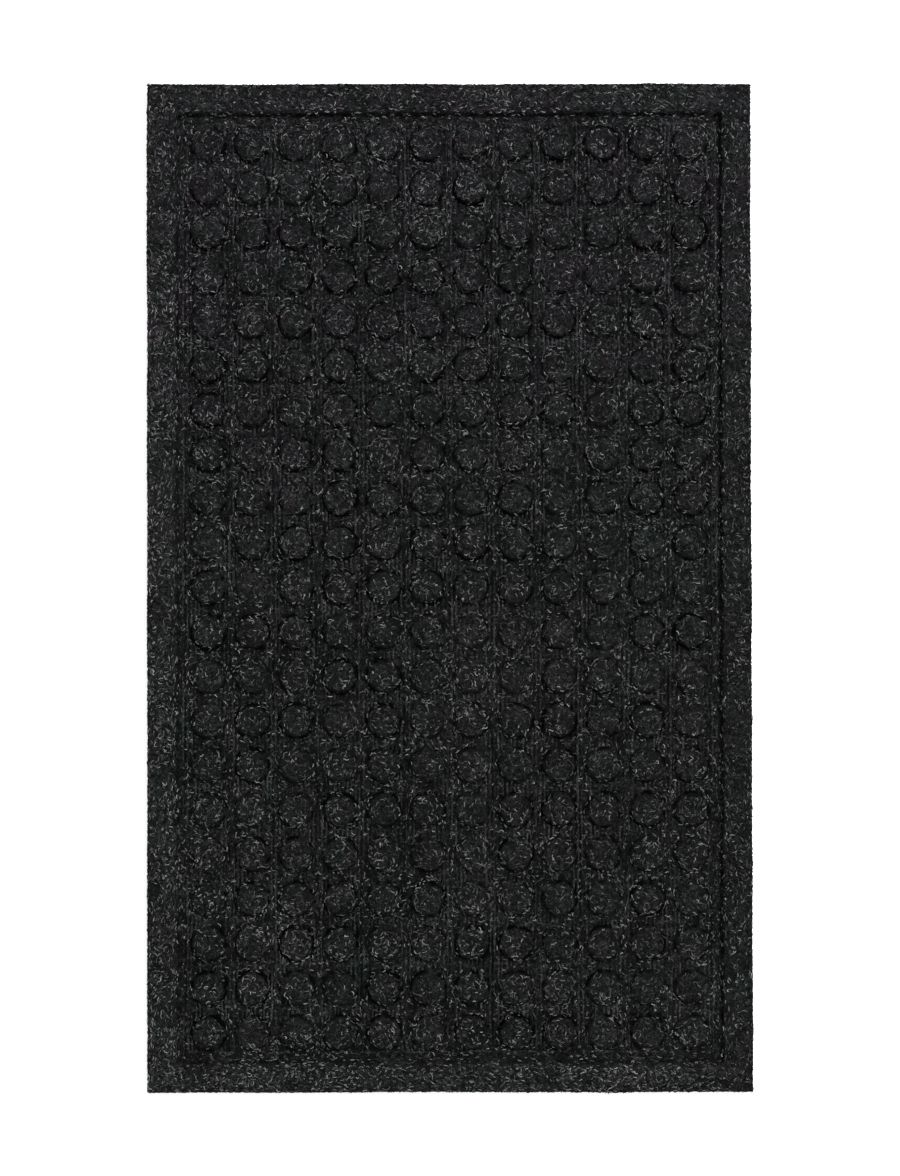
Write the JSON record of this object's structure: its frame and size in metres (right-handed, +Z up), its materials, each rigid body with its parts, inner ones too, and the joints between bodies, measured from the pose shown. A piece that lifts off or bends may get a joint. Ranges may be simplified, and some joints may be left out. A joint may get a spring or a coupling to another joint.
{
  "type": "door mat",
  "caption": "Rectangular rubber-backed door mat with a dark needle-punched felt face embossed with round bosses in straight rows inside a plain raised border.",
  "frame": {"origin": "on the floor, under the middle of the mat", "axes": "+X across the mat's width, +Y along its length, +Z up out of the felt face"},
  "size_m": [0.4572, 0.762, 0.0095],
  "materials": {
    "black_rubber": "matte moulded rubber with fine granules",
    "adhesive_film": "matte hot-melt film",
    "scrim_cloth": "matte plain weave",
    "charcoal_felt": "matte needle-punched fibre with paler flecks"
  },
  "bodies": {
    "root": {"rubber_backing": "black_rubber", "bond_film": "adhesive_film", "woven_scrim": "scrim_cloth", "face_felt": "charcoal_felt"}
  },
  "joints": []
}
